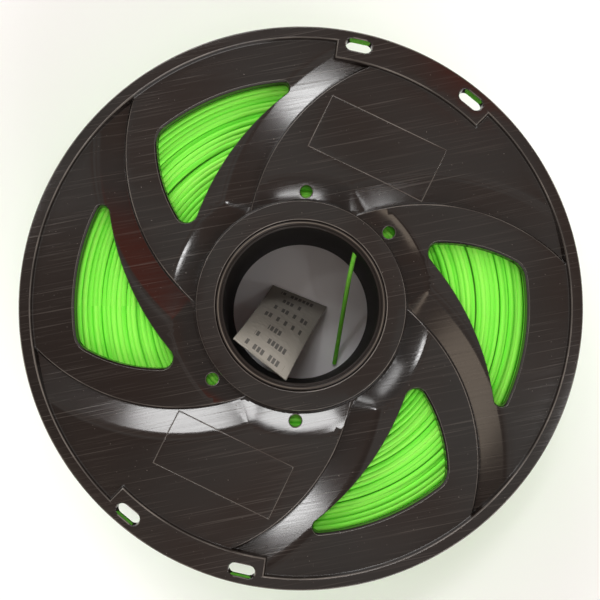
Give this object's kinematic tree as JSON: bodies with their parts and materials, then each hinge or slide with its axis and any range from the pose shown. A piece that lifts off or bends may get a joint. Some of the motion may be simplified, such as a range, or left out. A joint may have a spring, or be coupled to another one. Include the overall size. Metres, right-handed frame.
{
  "type": "filament spool",
  "caption": "Flanged spool of printer filament with swirl-shaped windows, threading slots in its rims, a wide bore and a loose desiccant packet inside.",
  "frame": {"origin": "on the spool's axis, in the plane of the rear rim's outer face, on which the spool lies", "axes": "+Z along the spool's axis, from the rear flange to the front flange; +X and +Y across it, with the middle of the rim's two slot blocks at 64 and 244 degrees from +X"},
  "size_m": [0.2, 0.2, 0.066],
  "materials": {
    "black_plastic": "glossy black moulded plastic with fine straight hairline scratches",
    "green_filament": "bright lime green, satin, wound in even strands",
    "packet_paper": "matt off-white non-woven paper, with crimped ends"
  },
  "bodies": {
    "spool": {"front_flange": "black_plastic", "rear_flange": "black_plastic", "winding_barrel": "black_plastic", "bore_liner": "black_plastic", "filament_winding": "green_filament", "filament_start_tail": "green_filament"},
    "packet": {"desiccant_packet": "packet_paper"}
  },
  "joints": [
    {"name": "packet_slide", "type": "slide", "parent": "spool", "child": "packet", "axis": [0, 0, 1], "range_m": [0, 0.09]}
  ]
}
